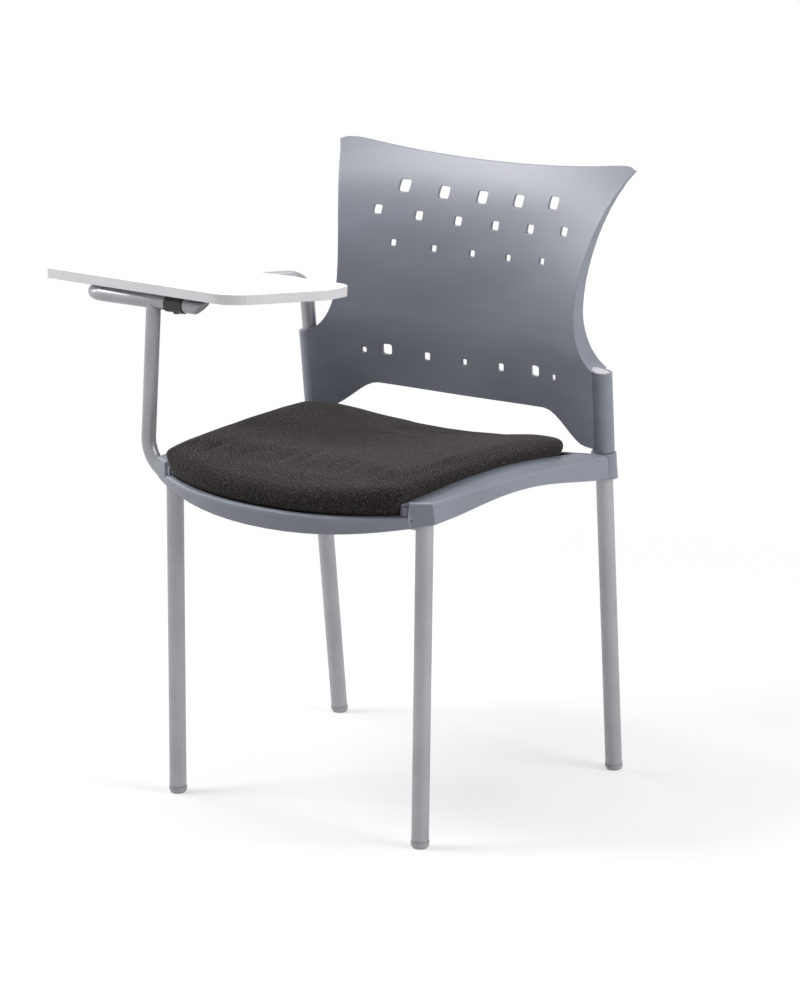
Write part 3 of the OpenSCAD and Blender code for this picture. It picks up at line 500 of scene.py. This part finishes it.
class CHAIR_OT_mouldings(bpy.types.Operator):
    """Grains the seat tray, the backrest and the upright's plug"""

    bl_idname = "tablet_chair.mouldings"
    bl_label = "Grain the Mouldings"

    def execute(self, context):
        shell = moulded_plastic("shell_plastic", colour_of(colours().shell), sizes().edge_round)
        for name in ("seat_shell", "back_shell"):
            dress(name, shell)
            smoothed(name, math.radians(32))
        dress("upright_plug", moulded_plastic("plug_plastic", colour_of(colours().plug), 0.0005))
        return {"FINISHED"}


class CHAIR_OT_cushion(bpy.types.Operator):
    """Blows up the foam cushion under its woven cover"""

    bl_idname = "tablet_chair.cushion"
    bl_label = "Fill the Cushion"

    def execute(self, context):
        dress("cushion_board", pressed_board())
        source = frame["nodes"]["seat_cushion"]
        mesh = source.data.copy()
        mesh.name = "cushion_cover"
        cover = bpy.data.objects.new("cushion_cover", mesh)
        context.scene.collection.objects.link(cover)
        custom = mesh.attributes.get("custom_normal")
        if custom:
            mesh.attributes.remove(custom)
        mesh.materials.clear()
        mesh.materials.append(woven_cloth())
        self.remesh(context, cover)
        self.fill(context, cover)
        self.soften(context, cover)
        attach(cover, "chair")
        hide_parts("seat_cushion")
        return {"FINISHED"}

    def baked(self, context, piece):
        """Applies every modifier of a piece to its mesh."""
        depsgraph = context.evaluated_depsgraph_get()
        done = bpy.data.meshes.new_from_object(piece.evaluated_get(depsgraph))
        old = piece.data
        piece.modifiers.clear()
        piece.data = done
        bpy.data.meshes.remove(old)
        piece.data.name = piece.name

    def remesh(self, context, cover):
        """Gives the cover an even mesh that can swell."""
        weld = cover.modifiers.new("joined", "WELD")
        weld.merge_threshold = SAME_PLACE
        mesh = cover.modifiers.new("even_mesh", "REMESH")
        mesh.mode = "VOXEL"
        mesh.voxel_size = sizes().voxel
        mesh.use_smooth_shade = True
        self.baked(context, cover)

    def fill(self, context, cover):
        """Swells the cloth with foam, held where it tucks into the tray."""
        rim = SEAT_LOW.z + TUCK_HEIGHT
        start = [vertex.co.copy() for vertex in cover.data.vertices]
        normals = [vertex.normal.copy() for vertex in cover.data.vertices]
        group = cover.vertex_groups.new(name="tucked")
        for vertex in cover.data.vertices:
            held = 1 - max(0.0, min(1.0, (vertex.co.z - rim) / TUCK_FADE))
            group.add([vertex.index], held, "REPLACE")
            vertex.co -= vertex.normal * sizes().shrink * (1 - held)
        cloth = cover.modifiers.new("foam", "CLOTH")
        cloth.settings.quality = 6
        cloth.settings.mass = 0.25
        cloth.settings.tension_stiffness = 15
        cloth.settings.compression_stiffness = 15
        cloth.settings.shear_stiffness = 20
        cloth.settings.bending_stiffness = 2.0
        cloth.settings.use_pressure = True
        cloth.settings.uniform_pressure_force = 14
        cloth.settings.vertex_group_mass = "tucked"
        cloth.settings.effector_weights.gravity = 0
        cloth.point_cache.frame_start = 1
        cloth.point_cache.frame_end = FOAM_STEPS
        for step in range(1, FOAM_STEPS + 1):
            context.scene.frame_set(step)
        self.baked(context, cover)
        context.scene.frame_set(1)
        most = sizes().swell
        for vertex, was, normal in zip(cover.data.vertices, start, normals):
            moved = vertex.co - was
            out = moved.dot(normal)
            if moved.length > most:
                vertex.co = was + moved * (most / moved.length)
            if out < -sizes().shrink:
                vertex.co = was - normal * sizes().shrink

    def soften(self, context, cover):
        """Relaxes the swollen cloth and makes its mesh finer."""
        relax = cover.modifiers.new("relaxed", "SMOOTH")
        relax.factor = 0.5
        relax.iterations = 4
        fine = cover.modifiers.new("fine", "SUBSURF")
        fine.levels = 1
        fine.render_levels = 1
        self.baked(context, cover)
        for face in cover.data.polygons:
            face.use_smooth = True


class CHAIR_OT_tablet(bpy.types.Operator):
    """Faces the writing tablet and bands its edge"""

    bl_idname = "tablet_chair.tablet"
    bl_label = "Face the Tablet"

    def execute(self, context):
        dress("tablet_board", tablet_laminate())
        dress("tablet_edge_band", edge_band())
        return {"FINISHED"}


class CHAIR_OT_hardware(bpy.types.Operator):
    """Finishes the screws, the pivot pin and the collar"""

    bl_idname = "tablet_chair.hardware"
    bl_label = "Finish the Hardware"

    def execute(self, context):
        zinc = plated_metal("zinc_plate", colour_of(colours().zinc), 0.26)
        for name in ("seat_screws", "board_screws", "back_screws", "tablet_screws", "collar_screw"):
            dress(name, zinc)
        dress("pivot_pin", plated_metal("pin_steel", darker(colour_of(colours().zinc), 0.8), 0.3))
        dress("pivot_collar", collar_nylon())
        return {"FINISHED"}


class CHAIR_OT_stage(bpy.types.Operator):
    """Makes the pale floor, the soft lamps and the camera"""

    bl_idname = "tablet_chair.stage"
    bl_label = "Set the Stage"

    def execute(self, context):
        self.floor(context)
        self.lamps(context)
        self.world(context)
        self.camera(context)
        context.scene.view_settings.view_transform = "Standard"
        return {"FINISHED"}

    def floor(self, context):
        mesh = bpy.data.meshes.new("studio_floor")
        half = FLOOR_HALF
        mesh.from_pydata(
            [(-half, -half, 0), (half, -half, 0), (half, half, 0), (-half, half, 0)], [], [(0, 1, 2, 3)]
        )
        floor = bpy.data.objects.new("studio_floor", mesh)
        floor.location.z = -FLOOR_DROP
        context.scene.collection.objects.link(floor)
        finish = Finish("studio_floor")
        away = finish.vector("LENGTH", finish.places(), output="Value").ramp(0.35, 1.6)
        matt = finish.node("ShaderNodeBsdfDiffuse", None, {"Color": (*colour_of(colours().floor), 1)})
        white = finish.node("ShaderNodeEmission", None, {"Color": (1, 1, 1, 1), "Strength": 1.0})
        share = finish.seen() * (0.55 + 0.45 * away)
        mixed = finish.node("ShaderNodeMixShader", None, {0: share, 1: matt, 2: white})
        finish.node("ShaderNodeOutputMaterial", None, {0: mixed}, None)
        floor.data.materials.append(finish.owner)

    def lamps(self, context):
        for name, place, aim, size, watts in (
            ("softbox_left", (-2.8, -0.3, 1.8), (0, 0, 0.6), 1.6, 44),
            ("softbox_front_left", (-1.5, -1.2, 2.75), (0, 0.15, 0.8), 0.9, 66),
            ("softbox_above", (0.1, 0.5, 3.1), (0, 0, 0.5), 1.8, 34),
            ("softbox_right", (2.6, 0.35, 1.5), (0, 0, 0.5), 1.5, 64),
        ):
            data = bpy.data.lights.new(name, "AREA")
            data.shape = "SQUARE"
            data.size = size
            data.energy = watts
            lamp = bpy.data.objects.new(name, data)
            lamp.location = MIDDLE + Vector(place)
            way = Vector(aim) - Vector(place)
            lamp.rotation_euler = way.to_track_quat("-Z", "Y").to_euler()
            context.scene.collection.objects.link(lamp)

    def world(self, context):
        finish = Finish("studio", bpy.data.worlds)
        level = WORLD_LIGHT + (1 - WORLD_LIGHT) * finish.seen()
        back = finish.node("ShaderNodeBackground", None, {"Color": (1, 1, 1, 1), "Strength": level})
        finish.node("ShaderNodeOutputWorld", None, {0: back}, None)
        context.scene.world = finish.owner

    def camera(self, context):
        data = bpy.data.cameras.new("photo_camera")
        data.sensor_width = 36.0
        data.lens = CAMERA_LENS
        data.clip_start = 0.1
        data.clip_end = 100
        camera = bpy.data.objects.new("photo_camera", data)
        camera.location = MIDDLE + CAMERA_FROM_MIDDLE
        camera.rotation_euler = CAMERA_AHEAD.normalized().to_track_quat("-Z", "Y").to_euler()
        context.scene.collection.objects.link(camera)
        context.scene.camera = camera


PIECES = (
    CHAIR_OT_frame, CHAIR_OT_glides, CHAIR_OT_mouldings, CHAIR_OT_cushion,
    CHAIR_OT_tablet, CHAIR_OT_hardware, CHAIR_OT_stage,
)


class CHAIR_PT_panel(bpy.types.Panel):
    """The chair's sizes, colours and pieces"""

    bl_idname = "CHAIR_PT_panel"
    bl_label = "Tablet Arm Chair"
    bl_space_type = "VIEW_3D"
    bl_region_type = "UI"
    bl_category = "Chair"

    def draw(self, context):
        layout = self.layout
        for group in (context.scene.chair_sizes, context.scene.chair_colours):
            box = layout.box()
            for name in group.__annotations__:
                box.prop(group, name)
        for piece in PIECES:
            layout.operator(piece.bl_idname)


CLASSES = (ChairSizes, ChairColours, *PIECES, CHAIR_PT_panel)


def register():
    for one in CLASSES:
        bpy.utils.register_class(one)
    bpy.types.Scene.chair_sizes = bpy.props.PointerProperty(type=ChairSizes)
    bpy.types.Scene.chair_colours = bpy.props.PointerProperty(type=ChairColours)


def unregister():
    del bpy.types.Scene.chair_colours
    del bpy.types.Scene.chair_sizes
    for one in reversed(CLASSES):
        bpy.utils.unregister_class(one)


def main():
    register()
    bpy.ops.tablet_chair.frame()
    bpy.ops.tablet_chair.glides()
    bpy.ops.tablet_chair.mouldings()
    bpy.ops.tablet_chair.cushion()
    bpy.ops.tablet_chair.tablet()
    bpy.ops.tablet_chair.hardware()
    bpy.ops.tablet_chair.stage()


if __name__ == "__main__":
    main()
